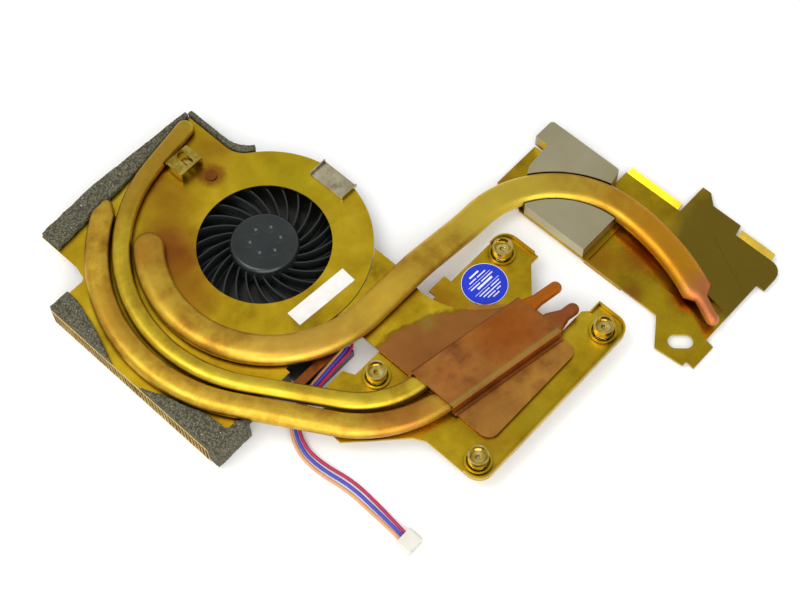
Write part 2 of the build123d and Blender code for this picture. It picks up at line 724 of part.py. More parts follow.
# Foam on the right side of the housing
side_foam_wide = 2.3
side_foam_tip = (21.6, fan_radius - 5.0)
side_foam_waist = (18.6, fan_radius - 1.8)
side_foam_step = (right_side + side_foam_wide, fan_radius + 2.5)
flare_x = right_side + flare_radius
flare_y = sqrt((fan_radius + cover_overhang + flare_radius)**2 - flare_x**2)
with BuildPart() as side_foam:
    with BuildSketch(Plane.XY.offset(tray_floor)):
        with BuildLine():
            inside = flare_radius - cover_overhang
            flare = [(flare_x + polar(inside, angle)[0], flare_y + polar(inside, angle)[1])
                     for angle in (180, 212, 245)]
            ThreePointArc(*flare)
            Line(flare[2], side_foam_tip)
            ThreePointArc(side_foam_tip, side_foam_waist, side_foam_step)
            Polyline(side_foam_step, (side_foam_step[0], rear_face), (flare[0][0], rear_face), flare[0])
        make_face()
    extrude(amount=tray_height)
save(side_foam, "side_foam")

# Foam over the left outlet, rear piece
with BuildPart() as left_foam_rear:
    with BuildSketch(Plane.XY.offset(cover_top)):
        with BuildLine():
            Polyline((left_face, 3.5), (left_face, left_rear), (left_face + 6.8, left_rear),
                     (left_face + 6.6, 24.5), (left_face + 4.2, 14.5), close=True)
        make_face()
    extrude(amount=foam_height)
    add(pipe_space.part, mode=Mode.SUBTRACT)
save(left_foam_rear, "left_foam_rear")

# Foam over the left outlet, front piece, folded down over the end of the fin stack
front_foam = 3.4
with BuildPart() as left_foam_front:
    with BuildSketch(Plane.XY.offset(cover_top)):
        with BuildLine():
            Polyline((left_face, -7.0), (left_face, left_front - front_foam), (-41.6, left_front - front_foam),
                     (-41.6, left_front), (-46.6, left_front), (-47.0, -27.0), (-49.6, -17.0), close=True)
        make_face()
    extrude(amount=foam_height)
    with Locations((left_face, left_front - front_foam, tray_floor)):
        Box(-41.6 - left_face, front_foam, cover_top - tray_floor, align=(Align.MIN, Align.MIN, Align.MIN))
    add(pipe_space.part, mode=Mode.SUBTRACT)
save(left_foam_front, "left_foam_front")

# Captive screws, their springs and their retaining rings
head_foot = well_floor + spring_length
head_top = head_foot + head_height
ring_foot = well_floor - well_sheet - 2 * motor_room - ring_sheet
cup_radius = 2.4
cup_floor = 1.9
cup_depth = 1.5
socket_radius = 0.8
socket_depth = 0.8
for number, (x, y) in enumerate(screw_spots, 1):
    screw_axis = Axis((x, y, 0), (0, 0, 1))
    with BuildPart() as screw:
        with BuildSketch(Plane(origin=(x, y, 0), x_dir=(1, 0, 0), z_dir=(0, -1, 0))):
            with BuildLine():
                Polyline(
                    (0, tip_height), (thread_radius - 0.3, tip_height), (thread_radius, tip_height + 0.3),
                    (thread_radius, ring_foot - 0.4), (shank_radius, ring_foot - 0.4), (shank_radius, ring_foot),
                    (thread_radius, ring_foot), (thread_radius, ring_foot + ring_sheet + ring_room),
                    (shank_radius, ring_foot + ring_sheet + ring_room), (shank_radius, head_foot),
                    (head_radius, head_foot), (head_radius, head_top), (cup_radius, head_top),
                    (cup_floor, head_top - cup_depth), (socket_radius, head_top - cup_depth),
                    (socket_radius, head_top - cup_depth - socket_depth),
                    (0, head_top - cup_depth - socket_depth), close=True)
            make_face()
        revolve(axis=screw_axis)
    save(screw, f"screw_{number}")

    with BuildPart() as screw_ring:
        with BuildSketch(Plane.XY.offset(ring_foot)):
            with Locations((x, y)):
                Circle(ring_radius)
                Circle(thread_radius + ring_room, mode=Mode.SUBTRACT)
        extrude(amount=ring_sheet)
    save(screw_ring, f"screw_ring_{number}")

    with BuildPart() as screw_spring:
        steps = 8
        coil_radius = (shank_radius + head_radius) / 2
        rise = (spring_length - spring_wire) / (steps * spring_turns)
        with BuildLine() as coil:
            Polyline(*[(x + polar(coil_radius, 360 * n / steps)[0], y + polar(coil_radius, 360 * n / steps)[1],
                        well_floor + spring_wire / 2 + n * rise) for n in range(steps * spring_turns + 1)])
        with BuildSketch(Plane(origin=(x + coil_radius, y, well_floor + spring_wire / 2),
                               x_dir=(1, 0, 0), z_dir=(0, 1, 0))):
            Rectangle(spring_wire, spring_wire)
        sweep(path=coil.line, transition=Transition.RIGHT)
    save(screw_spring, f"screw_spring_{number}")

# Bracket beside the middle pipe: folded sheet, with a tongue bent down out of its top
bracket_x = 2.6
bracket_y = 34.6
bracket_wide = 8.2
bracket_deep = 6.4
bracket_height = 3.5
bracket_sheet = 0.5
tongue_x = bracket_x + 0.6
tongue_wide = 1.5
tongue_slot = 2.6
tongue_run = 5.4
tongue_dip = 1.4
bracket_top = cover_top + bracket_height
with BuildPart() as pipe_bracket:
    with Locations((bracket_x, bracket_y, cover_top)):
        Box(bracket_wide, bracket_deep, bracket_height, align=(Align.CENTER, Align.CENTER, Align.MIN))
        Box(bracket_wide - 2 * bracket_sheet, bracket_deep, bracket_height - bracket_sheet,
            align=(Align.CENTER, Align.CENTER, Align.MIN), mode=Mode.SUBTRACT)
    with BuildSketch(Plane.XY.offset(bracket_top)):
        with Locations((tongue_x, bracket_y)):
            SlotOverall(tongue_run, tongue_slot, rotation=90)
    extrude(amount=-2 * bracket_sheet, mode=Mode.SUBTRACT)
    with BuildSketch(Plane.YZ.offset(tongue_x - tongue_wide / 2)):
        with BuildLine():
            Polyline((bracket_y - bracket_deep / 2, bracket_top), (bracket_y + tongue_slot / 2, bracket_top - tongue_dip),
                     (bracket_y + tongue_slot / 2, bracket_top - tongue_dip - bracket_sheet),
                     (bracket_y - bracket_deep / 2, bracket_top - bracket_sheet), close=True)
        make_face()
    extrude(amount=tongue_wide)
save(pipe_bracket, "pipe_bracket")

# Rivet through the cover
with BuildPart() as rivet:
    with Locations((rivet_x, rivet_y, tray_height)):
        Cylinder(rivet_shank, cover_sheet, align=(Align.CENTER, Align.CENTER, Align.MIN))
    with Locations((rivet_x, rivet_y, cover_top)):
        Cylinder(1.75, 0.4, align=(Align.CENTER, Align.CENTER, Align.MIN))
save(rivet, "rivet")

# Ground clip: sheet channel on the cover, with a leg down over its edge
clip_x = fan_radius + cover_overhang + clip_sheet - clip_width / 2
with BuildPart() as ground_clip:
    with Locations((clip_x, 0, cover_top)):
        Box(clip_width, clip_length, clip_sheet, align=(Align.CENTER, Align.CENTER, Align.MIN))
    for end in (-1, 1):
        with Locations((clip_x, end * (clip_length - clip_sheet) / 2, cover_top)):
            Box(clip_width, clip_sheet, 1.4, align=(Align.CENTER, Align.CENTER, Align.MIN))
    with Locations((clip_x + clip_width / 2, 0, cover_top + clip_sheet)):
        Box(clip_sheet, clip_length / 2, 3.6, align=(Align.MAX, Align.CENTER, Align.MAX))
save(ground_clip, "ground_clip")

# Strap over the lead
strap_sheet = 0.5
with BuildPart() as wire_strap:
    with BuildSketch(Plane.XY.offset(tray_height - 2 * strap_sheet)):
        with Locations((-17.2, -36.7)):
            Rectangle(14.6, 2.6)
        with Locations((-12.0, -33.9)):
            Rectangle(4.0, 5.4)
        add(tray_outline, mode=Mode.SUBTRACT)
    extrude(amount=strap_sheet)
save(wire_strap, "wire_strap")

# Labels
with BuildPart() as fan_label:
    with BuildSketch(Plane.XY.offset(cover_top)):
        with Locations((-1.4, -23.4)):
            Rectangle(20.2, 5.0, rotation=-4.0)
    extrude(amount=label_sheet)
save(fan_label, "fan_label")

with BuildPart() as blue_label:
    with BuildSketch(Plane.XY.offset(cpu_top)):
        with Locations((32.0, -53.4)):
            Circle(round_label)
    extrude(amount=label_sheet)
save(blue_label, "round_label")

# Lead: three wires side by side from the tray to the plug
wire_lie = ledge_height + wire_diameter / 2 + 0.1
wire_floor = wire_diameter / 2 + 0.05
plug_size = (5.2, 4.4, 3.0)
plug_x = -35.4
plug_rear = -84.9
lead_route = [
    (wire_exit[0], wire_exit[1], wire_lie), (-4.0, -38.2, wire_lie), (-13.0, -38.7, wire_lie),
    (-24.5, -39.9, wire_lie), (-31.8, -41.7, 2.6), (-35.8, -48.5, 1.0), (-36.0, -56.0, wire_floor),
    (-34.2, -65.0, wire_floor), (-34.6, -75.0, wire_floor + 0.2), (plug_x, plug_rear + 0.1, plug_size[2] / 2),
]


# The route shifted sideways in plan, so that the wires keep their distance round the turns
def beside(route, shift):
    spots = []
    for n, (x, y, z) in enumerate(route):
        before, after = route[max(n - 1, 0)], route[min(n + 1, len(route) - 1)]
        first = atan2(y - before[1], x - before[0]) if n else atan2(after[1] - y, after[0] - x)
        last = atan2(after[1] - y, after[0] - x) if n < len(route) - 1 else first
        turn = (last - first + radians(180)) % radians(360) - radians(180)
        out = first + turn / 2 - radians(90)
        reach = shift / cos(turn / 2)
        spots.append((x + reach * cos(out), y + reach * sin(out), z))
    return spots


for name, place in (("wire_tan", 1), ("wire_blue", 0), ("wire_red", -1)):
    spots = [Vector(*spot) for spot in beside(lead_route, place * wire_pitch)]
    radii = []
    for before, spot, after in zip(spots, spots[1:], spots[2:]):
        half_turn = (spot - before).get_angle(after - spot) / 2
        shorter = min((spot - before).length, (after - spot).length)
        radii.append(0.45 * shorter / tan(radians(half_turn)))
    with BuildPart() as wire:
        with BuildLine() as wire_path:
            FilletPolyline(*spots, radius=radii)
        with BuildSketch(Plane(origin=spots[0], z_dir=spots[1] - spots[0])):
            RegularPolygon(wire_diameter / 2, wire_sides)
        sweep(path=wire_path.line)
    save(wire, name)

# Plug: housing with three cavities and the crimped pins in them
pin_pitch = 1.25
pin_size = 0.7
with BuildPart() as plug:
    with Locations((plug_x, plug_rear - plug_size[1] / 2, plug_size[2] / 2)):
        Box(*plug_size)
    chamfer(plug.edges().filter_by(Axis.Y), 0.3)
    with Locations((plug_x, plug_rear - plug_size[1], plug_size[2] / 2)):
        with GridLocations(pin_pitch, 1, 3, 1):
            Box(pin_size + 0.2, 2 * (plug_size[1] - 0.8), pin_size + 0.2, mode=Mode.SUBTRACT)
save(plug, "plug")

with BuildPart() as plug_pins:
    with Locations((plug_x, plug_rear - 0.8 - 1.4, plug_size[2] / 2)):
        with GridLocations(pin_pitch, 1, 3, 1):
            Box(pin_size, 2.8, pin_size)
save(plug_pins, "plug_pins")
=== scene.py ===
import bpy
from math import atan2, cos, pi, radians, sin
from mathutils import Matrix, Vector, noise


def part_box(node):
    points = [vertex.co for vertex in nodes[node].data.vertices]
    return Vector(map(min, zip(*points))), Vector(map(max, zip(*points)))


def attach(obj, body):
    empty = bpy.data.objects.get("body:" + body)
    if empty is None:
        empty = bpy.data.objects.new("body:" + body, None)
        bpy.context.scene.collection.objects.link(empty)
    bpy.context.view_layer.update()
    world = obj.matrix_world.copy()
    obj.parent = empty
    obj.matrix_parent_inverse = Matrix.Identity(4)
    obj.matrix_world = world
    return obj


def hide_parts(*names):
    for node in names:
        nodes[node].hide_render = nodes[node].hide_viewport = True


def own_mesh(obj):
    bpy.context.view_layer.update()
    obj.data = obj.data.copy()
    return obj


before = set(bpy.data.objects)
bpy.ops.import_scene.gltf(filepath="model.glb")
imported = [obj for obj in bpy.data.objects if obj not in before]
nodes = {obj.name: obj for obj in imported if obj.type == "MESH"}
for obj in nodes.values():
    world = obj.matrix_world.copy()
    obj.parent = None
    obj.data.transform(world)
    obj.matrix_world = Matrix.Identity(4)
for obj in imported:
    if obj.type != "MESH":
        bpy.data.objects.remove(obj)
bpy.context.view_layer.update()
mm = 0.001
scene = bpy.context.scene
scene.view_settings.view_transform = "Standard"
print("frame loaded:", len(nodes), "nodes")


def toLinear(hexColour):
    parts = [int(hexColour[i:i + 2], 16) / 255 for i in (1, 3, 5)]
    return tuple(c / 12.92 if c <= 0.04045 else ((c + 0.055) / 1.055) ** 2.4 for c in parts) + (1.0,)


# adds one node, sets its sockets and properties, and links what feeds it
def addNode(tree, kind, settings=None, links=None):
    node = tree.nodes.new(kind)
    for key, value in (settings or {}).items():
        if isinstance(key, int) or key in node.inputs:
            node.inputs[key].default_value = value
        else:
            setattr(node, key, value)
    for key, socket in (links or {}).items():
        tree.links.new(socket, node.inputs[key])
    return node


def startMaterial(name, settings):
    material = bpy.data.materials.new(name)
    material.use_nodes = True
    tree = material.node_tree
    shader = tree.nodes["Principled BSDF"]
    for key, value in settings.items():
        shader.inputs[key].default_value = value
    place = addNode(tree, "ShaderNodeTexCoord").outputs["Object"]
    return material, tree, shader, place


# a colour ramp from evenly spread hex tones between two noise levels
def rampOf(tree, tones, factor, low=0.32, high=0.68):
    ramp = addNode(tree, "ShaderNodeValToRGB", links={"Fac": factor})
    while len(ramp.color_ramp.elements) < len(tones):
        ramp.color_ramp.elements.new(0.5)
    for number, tone in enumerate(tones):
        ramp.color_ramp.elements[number].position = low + (high - low) * number / (len(tones) - 1)
        ramp.color_ramp.elements[number].color = toLinear(tone)
    return ramp.outputs["Color"]


# noise with patches of the given size in mm
def noiseOf(tree, place, size, detail=3.0, roughness=0.5):
    settings = {"Scale": 1 / (size * mm), "Detail": detail, "Roughness": roughness}
    return addNode(tree, "ShaderNodeTexNoise", settings, {"Vector": place})


# a value brought from one span to another
def rangeOf(tree, value, start, end, low=0.0, high=1.0):
    settings = {"From Min": start, "From Max": end, "To Min": low, "To Max": high}
    return addNode(tree, "ShaderNodeMapRange", settings, {"Value": value}).outputs[0]


# a tone laid over a colour, as much as the factor says
def layOver(tree, colour, tone, factor):
    settings = {"data_type": "RGBA", 7: toLinear(tone)}
    return addNode(tree, "ShaderNodeMix", settings, {0: factor, 6: colour}).outputs[2]


# shades small heights, on top of another normal where one is given
def bumpFrom(tree, shader, height, depth, strength, under=None):
    links = {"Height": height, "Normal": under} if under else {"Height": height}
    bump = addNode(tree, "ShaderNodeBump", {"Strength": strength, "Distance": depth * mm}, links)
    tree.links.new(bump.outputs["Normal"], shader.inputs["Normal"])


def dress(material, *names):
    for name in names:
        nodes[name].data.materials.clear()
        nodes[name].data.materials.append(material)


# a narrow rounded edge, so that sheet metal and moulded corners catch the light
def roundEdges(width, *names):
    for name in names:
        bevel = nodes[name].modifiers.new("edge", "BEVEL")
        bevel.width = width * mm
        bevel.segments = 2
        bevel.limit_method = "ANGLE"
        bevel.angle_limit = radians(40)


# Camera at the photograph's viewing angle, found from the round inlet and the four screw heads
view = {"place": (-135.56, -181.15, 392.65), "azimuth": -136.32, "elevation": 62.04, "roll": -1.18,
        "lens": 72, "nearest": 10}


def aimCamera():
    azimuth, elevation, roll = (radians(view[key]) for key in ("azimuth", "elevation", "roll"))
    back = Vector((cos(elevation) * cos(azimuth), cos(elevation) * sin(azimuth), sin(elevation)))
    right = back.cross(Vector((0, 0, -1))).normalized()
    up = back.cross(right)
    tiltedRight = right * cos(roll) + up * sin(roll)
    tiltedUp = up * cos(roll) - right * sin(roll)
    camera = bpy.data.objects.new("camera", bpy.data.cameras.new("camera"))
    camera.data.lens = view["lens"]
    camera.data.clip_start = view["nearest"] * mm
    camera.matrix_world = Matrix((tiltedRight, tiltedUp, back)).transposed().to_4x4()
    camera.location = Vector(view["place"]) * mm
    scene.collection.objects.link(camera)
    scene.camera = camera


aimCamera()
print("camera set")

# Lead: three insulated wires side by side, from the tray to the plug; each wire is (side, colour, slot)
lead = {
    "diameter": 0.95, "pitch": 1.0, "length": 79.0,
    "route": [(-2.0, -29.95, 4.075), (-4.0, -38.2, 4.075), (-13.0, -38.7, 4.075), (-24.5, -39.9, 4.075),
              (-31.8, -41.7, 2.6), (-35.8, -48.5, 1.0), (-36.0, -56.0, 0.525), (-34.2, -65.0, 0.525),
              (-34.6, -75.0, 0.725), (-35.4, -84.8, 1.5)],
    "spread": [1, 1, 1, 1, 1.05, 1.2, 1.45, 1.5, 1.4, 1],
    "wires": {"wire_tan": (1, "#E0A06C", "tan_insulation"), "wire_blue": (0, "#4446BE", "blue_insulation"),
              "wire_red": (-1, "#B81850", "red_insulation")},
}


# the route shifted sideways in plan: the wires keep their distance round the turns,
# and fan out by the spread where they lie free
def besideRoute(route, shift):
    spots = []
    for n, (x, y, z) in enumerate(route):
        before, after = route[max(n - 1, 0)], route[min(n + 1, len(route) - 1)]
        first = atan2(y - before[1], x - before[0]) if n else atan2(after[1] - y, after[0] - x)
        last = atan2(after[1] - y, after[0] - x) if n < len(route) - 1 else first
        turn = (last - first + pi) % (2 * pi) - pi
        out = first + turn / 2 - pi / 2
        reach = shift * lead["spread"][n] / cos(turn / 2)
        spots.append((x + reach * cos(out), y + reach * sin(out), z))
    return spots


# PVC insulation, extruded: even colour, a low satin sheen and a faint waviness
def pvcInsulation(name, colour):
    material, tree, shader, place = startMaterial(name, {"Roughness": 0.38, "IOR": 1.53})
    grain = noiseOf(tree, place, 2.5, 2.0).outputs["Fac"]
    dulled = (0.78, 0.78, 0.78, 1)
    settings = {"data_type": "RGBA", "blend_type": "MULTIPLY", 6: toLinear(colour), 7: dulled}
    shade = addNode(tree, "ShaderNodeMix", settings, {0: grain})
    tree.links.new(shade.outputs[2], shader.inputs["Base Color"])
    bumpFrom(tree, shader, grain, 0.1, 0.1)
    return material


def layLead():
    for node, (side, colour, slot) in lead["wires"].items():
        spots = besideRoute(lead["route"], side * lead["pitch"])
        curve = bpy.data.curves.new(node + "_cord", "CURVE")
        curve.dimensions = "3D"
        curve.bevel_depth = lead["diameter"] / 2 * mm
        curve.bevel_resolution = 4
        curve.resolution_u = 8
        curve.use_fill_caps = True
        spline = curve.splines.new("NURBS")
        spline.points.add(len(spots) - 1)
        for point, spot in zip(spline.points, spots):
            point.co = (*[c * mm for c in spot], 1)
        spline.order_u = 3
        spline.use_endpoint_u = True
        cord = bpy.data.objects.new(node + "_cord", curve)
        scene.collection.objects.link(cord)
        curve.materials.append(pvcInsulation("PVC insulation, extruded " + node, colour))
        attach(cord, "cooler")
        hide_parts(node)


layLead()
print("lead laid")

# Stage: pale floor, a bright horizon that the metal mirrors, and soft lamps on the left;
# each lamp is (place in m, size in m, power in W), and floorDrop is in mm
stage = {
    "floorSize": 3.0, "floorDrop": 0.2, "floorColour": "#F4F4F2", "floorGlow": 0.10,
    "horizon": (1.0, 1.0, 1.0), "zenith": (0.74, 0.75, 0.77), "skyLevels": (0.05, 0.95), "worldLevel": 0.78,
    "lamps": [((-0.20, 0.13, 0.62), 0.34, 1.5), ((-0.31, -0.39, 0.36), 0.58, 2.6)],
    "aim": (0.02, -0.03, 0.0),
}


# matt white table top: shows white with the object's shadow, to the eye and in the metal
def whiteTable():
    settings = {"Roughness": 0.7, "Base Color": toLinear(stage["floorColour"])}
    material, tree, shader = startMaterial("matt white table", settings)[:3]
    rays = addNode(tree, "ShaderNodeLightPath").outputs
    seen = rays["Is Camera Ray"]
    for ray in ("Is Glossy Ray", "Is Transmission Ray"):
        seen = addNode(tree, "ShaderNodeMath", {"operation": "MAXIMUM"}, {0: seen, 1: rays[ray]}).outputs[0]
    level = addNode(tree, "ShaderNodeMath", {"operation": "MULTIPLY", 1: stage["floorGlow"]}, {0: seen})
    glow = addNode(tree, "ShaderNodeEmission", {"Color": (1, 1, 1, 1)}, {"Strength": level.outputs[0]})
    both = addNode(tree, "ShaderNodeAddShader", links={0: shader.outputs[0], 1: glow.outputs[0]})
    tree.links.new(both.outputs[0], tree.nodes["Material Output"].inputs["Surface"])
    return material


def setStage():
    mesh = bpy.data.meshes.new("floor")
    half = stage["floorSize"] / 2
    corners = [(-half, -half, 0), (half, -half, 0), (half, half, 0), (-half, half, 0)]
    mesh.from_pydata(corners, [], [(0, 1, 2, 3)])
    mesh.materials.append(whiteTable())
    floor = bpy.data.objects.new("floor", mesh)
    floor.location.z = -stage["floorDrop"] * mm
    scene.collection.objects.link(floor)

    world = bpy.data.worlds.new("studio")
    world.use_nodes = True
    scene.world = world
    tree = world.node_tree
    way = addNode(tree, "ShaderNodeTexCoord").outputs["Generated"]
    height = addNode(tree, "ShaderNodeSeparateXYZ", links={"Vector": way}).outputs["Z"]
    ramp = addNode(tree, "ShaderNodeValToRGB", links={"Fac": height})
    for element, level, key in zip(ramp.color_ramp.elements, stage["skyLevels"], ("horizon", "zenith")):
        element.position = level
        element.color = (*stage[key], 1)
    background = tree.nodes["Background"]
    background.inputs["Strength"].default_value = stage["worldLevel"]
    tree.links.new(ramp.outputs["Color"], background.inputs["Color"])

    for number, (spot, size, power) in enumerate(stage["lamps"], 1):
        lamp = bpy.data.lights.new("softbox%d" % number, "AREA")
        lamp.energy = power
        lamp.size = size
        holder = bpy.data.objects.new("softbox%d" % number, lamp)
        holder.location = spot
        holder.rotation_euler = (Vector(stage["aim"]) - Vector(spot)).to_track_quat("-Z", "Y").to_euler()
        scene.collection.objects.link(holder)


setStage()
print("stage set")

# What a metal has where its own look doesn't say, in mm and degrees: the corner grime is (reach, tone,
# strength), a darkening of corners and gaps that is partly grime and flux and partly painted shade; a stain
# or painted patch of highlight or shade is (x, y, radius, edge, tone, strength), a streak is (x, y, heading,
# half, edge, tone, strength)
plainMetal = {"ragged": 5.0, "stainsAndPaintedLight": [], "streaks": [], "grimeAndShade": (1.4, "#3C2410", 0.85),
              "lines": (1, 1, 1), "dents": 4.0}
smearSize = 7.0
dentShare = 3.0
# shares of open sky at which the corner darkening, partly grime and partly painted shade, begins and is full
cleanAndUnshadedSky = 0.82
soiledAndShadedSky = 0.3


# Metal with cloudy tarnish, ragged stains and painted patches of highlight and shade at places in plan,
# corners darkened by grime and painted shade, fine working lines and handling dents
def tarnishedMetal(name, ownLook):
    look = {**plainMetal, **ownLook}
    material, tree, shader, place = startMaterial(name, {"Metallic": 1.0})
    cloud = noiseOf(tree, place, look["cloud"], 5.0, 0.62).outputs["Fac"]
    colour = rampOf(tree, look["tones"], cloud)
    shift = noiseOf(tree, place, look["ragged"], 4.0, 0.6).outputs["Color"]
    sway = look["ragged"] * mm
    spread = {"operation": "MULTIPLY_ADD", 1: (sway, sway, 0), 2: (-sway / 2, -sway / 2, 0)}
    centred = addNode(tree, "ShaderNodeVectorMath", spread, {0: shift}).outputs[0]
    inPlan = {"operation": "MULTIPLY", 1: (1, 1, 0)}
    flat = addNode(tree, "ShaderNodeVectorMath", inPlan, {0: place}).outputs[0]
    ragged = addNode(tree, "ShaderNodeVectorMath", {"operation": "ADD"}, {0: flat, 1: centred}).outputs[0]
    marks = []
    for x, y, radius, edge, tone, strength in look["stainsAndPaintedLight"]:
        toSpot = {"operation": "DISTANCE", 1: (x * mm, y * mm, 0)}
        away = addNode(tree, "ShaderNodeVectorMath", toSpot, {0: ragged}).outputs["Value"]
        marks.append((away, radius, edge, tone, strength))
    for x, y, heading, half, edge, tone, strength in look["streaks"]:
        normal = Vector((-sin(radians(heading)), cos(radians(heading)), 0))
        alongNormal = {"operation": "DOT_PRODUCT", 1: normal}
        across = addNode(tree, "ShaderNodeVectorMath", alongNormal, {0: flat}).outputs["Value"]
        fromMiddle = {"operation": "SUBTRACT", 1: normal.dot(Vector((x, y, 0))) * mm}
        shifted = addNode(tree, "ShaderNodeMath", fromMiddle, {0: across}).outputs[0]
        away = addNode(tree, "ShaderNodeMath", {"operation": "ABSOLUTE"}, {0: shifted}).outputs[0]
        marks.append((away, half, edge, tone, strength))
    for away, reach, edge, tone, strength in marks:
        fade = rangeOf(tree, away, (reach + edge) * mm, (reach - edge) * mm, 0.0, strength)
        colour = layOver(tree, colour, tone, fade)
    # grime and flux in the corners, with painted shade: ambient occlusion darkens corners, creases and gaps
    reach, tone, strength = look["grimeAndShade"]
    corner = addNode(tree, "ShaderNodeAmbientOcclusion", {"Distance": reach * mm, "samples": 6})
    dirtAndShade = rangeOf(tree, corner.outputs["AO"], cleanAndUnshadedSky, soiledAndShadedSky, 0.0, strength)
    tree.links.new(layOver(tree, colour, tone, dirtAndShade), shader.inputs["Base Color"])
    rough = noiseOf(tree, place, smearSize, 4.0, 0.6).outputs["Fac"]
    tree.links.new(rangeOf(tree, rough, 0.3, 0.7, *look["roughness"]), shader.inputs["Roughness"])
    stretched = addNode(tree, "ShaderNodeMapping", {"Scale": look["lines"]}, {"Vector": place})
    fine = noiseOf(tree, stretched.outputs[0], look["grain"], 2.0).outputs["Fac"]
    dents = noiseOf(tree, place, look["dents"], 1.0).outputs["Fac"]
    height = addNode(tree, "ShaderNodeMath", {"operation": "MULTIPLY_ADD", 1: dentShare}, {0: dents, 2: fine})
    # a pressed pipe keeps a slight crown, so its shoulders turn over a wide stretch
    crown = None
    if "crown" in look:
        rounding = {"Radius": look["crown"] * mm, "samples": 8}
        crown = addNode(tree, "ShaderNodeBevel", rounding).outputs["Normal"]
    bumpFrom(tree, shader, height.outputs[0], look["depth"], 0.25, crown)
    return material


# Brass, rolled and stamped: olive gold, satin, with flux stains and faint rolling lines
brassTones = ["#9E801A", "#BC991C", "#CAA822", "#D6B62C"]
fluxStain = "#8C4A1C"
fluxEdge = "#A06A1C"
coverLook = {
    "tones": brassTones, "cloud": 15, "roughness": (0.26, 0.40), "grain": 0.6, "lines": (1, 0.1, 1),
    "depth": 0.015,
    "stainsAndPaintedLight": [(-21, 14, 8, 4, fluxStain, 0.85), (-18, 21, 6, 3, fluxStain, 0.8),
               (-25, 3, 6, 4, fluxEdge, 0.8), (5.6, 26.9, 3.8, 1.2, fluxStain, 0.75),
               (-9, 29, 7, 4, fluxEdge, 0.7), (12, 33, 5, 3, fluxStain, 0.45), (-8, 37, 4, 2, fluxEdge, 0.5),
               (18, 8, 12, 8, "#BEB020", 0.5), (-42, 6, 6, 4, "#8A7014", 0.5)],
}
cpuLook = {
    "tones": brassTones, "cloud": 13, "roughness": (0.24, 0.40), "grain": 0.6, "lines": (0.1, 1, 1),
    "depth": 0.015,
    "stainsAndPaintedLight": [(20, -48, 5, 3, "#A06018", 0.6), (-4, -58, 5, 3, fluxStain, 0.4),
               (36, -70, 4, 2, fluxStain, 0.5), (10, -88, 6, 4, "#8A7414", 0.4),
               (-2, -86, 5, 3, fluxStain, 0.35)],
}
# Second plate: the wide darker olive patch over its right part is painted shade, for the duller reflection
# there; its corner darkening is reddish flux and painted shade
gpuLook = {
    "tones": ["#9A7E18", "#B8981C", "#C4A622"], "cloud": 12, "roughness": (0.18, 0.32), "grain": 0.6,
    "lines": (0.1, 1, 1), "depth": 0.01, "grimeAndShade": (1.2, "#74400F", 0.6),
    "stainsAndPaintedLight": [(92, -101, 24, 3, "#7A6624", 0.92), (62, -71, 5, 3, "#A05A18", 0.6),
               (60, -84, 3, 2, fluxStain, 0.6), (70, -78, 5, 3, "#96501A", 0.7),
               (68, -95, 4, 2, "#96501A", 0.6), (63, -36, 4, 3, "#A05A18", 0.6)],
}
bridgeLook = {
    "tones": brassTones, "cloud": 9, "roughness": (0.28, 0.42), "grain": 0.6, "depth": 0.015, "ragged": 4.0,
    "stainsAndPaintedLight": [(-5, -86.6, 42.2, 0.6, "#6E4A16", 0.7), (-5, -86.6, 41.2, 0.6, "#A86C36", 0.92),
               (5, -57, 5, 4, "#8A5228", 0.4), (12.6, -50.0, 2.0, 1.4, "#A08C34", 0.6)],
}
bracketLook = {
    "tones": ["#7A621C", "#B09438", "#D0BC68"], "cloud": 4, "roughness": (0.16, 0.34), "grain": 0.6,
    "depth": 0.015,
}
dress(tarnishedMetal("brass, rolled and stamped, fan cover", coverLook), "fan_cover")
dress(tarnishedMetal("brass, rolled and stamped, processor plate", cpuLook), "cpu_plate")
dress(tarnishedMetal("brass, rolled and stamped, second plate", gpuLook), "gpu_plate")
dress(tarnishedMetal("brass, rolled and stamped, bridge", bridgeLook), "bridge_sheet")
dress(tarnishedMetal("brass, rolled and folded, bracket", bracketLook), "pipe_bracket")

# Copper pipe, drawn, bent and flattened: golden brown, satin, in clouds of browner and yellower tones
pipeTones = ["#9E7228", "#BC902E", "#CCA83A", "#C09030"]
outerLook = {
    "tones": pipeTones, "cloud": 8, "roughness": (0.30, 0.46), "grain": 0.6, "depth": 0.02, "dents": 5,
    "crown": 3.2,
    "stainsAndPaintedLight": [(38, -76, 7, 3, "#9C5230", 0.9), (-12, -63, 9, 5, "#AA6A2C", 0.8),
               (-44, 12, 8, 5, "#B4802C", 0.6)],
}
middleLook = {
    "tones": ["#AE8E26", "#C8AC30", "#D4BA3E"], "cloud": 9, "roughness": (0.28, 0.44), "grain": 0.6,
    "depth": 0.02, "dents": 5, "crown": 2.4,
    "stainsAndPaintedLight": [(38, -68, 8, 3, "#C0621E", 0.9), (2, 43, 14, 8, "#AA7E2C", 0.7),
               (-16, 40, 10, 6, "#AA7E2C", 0.6)],
}
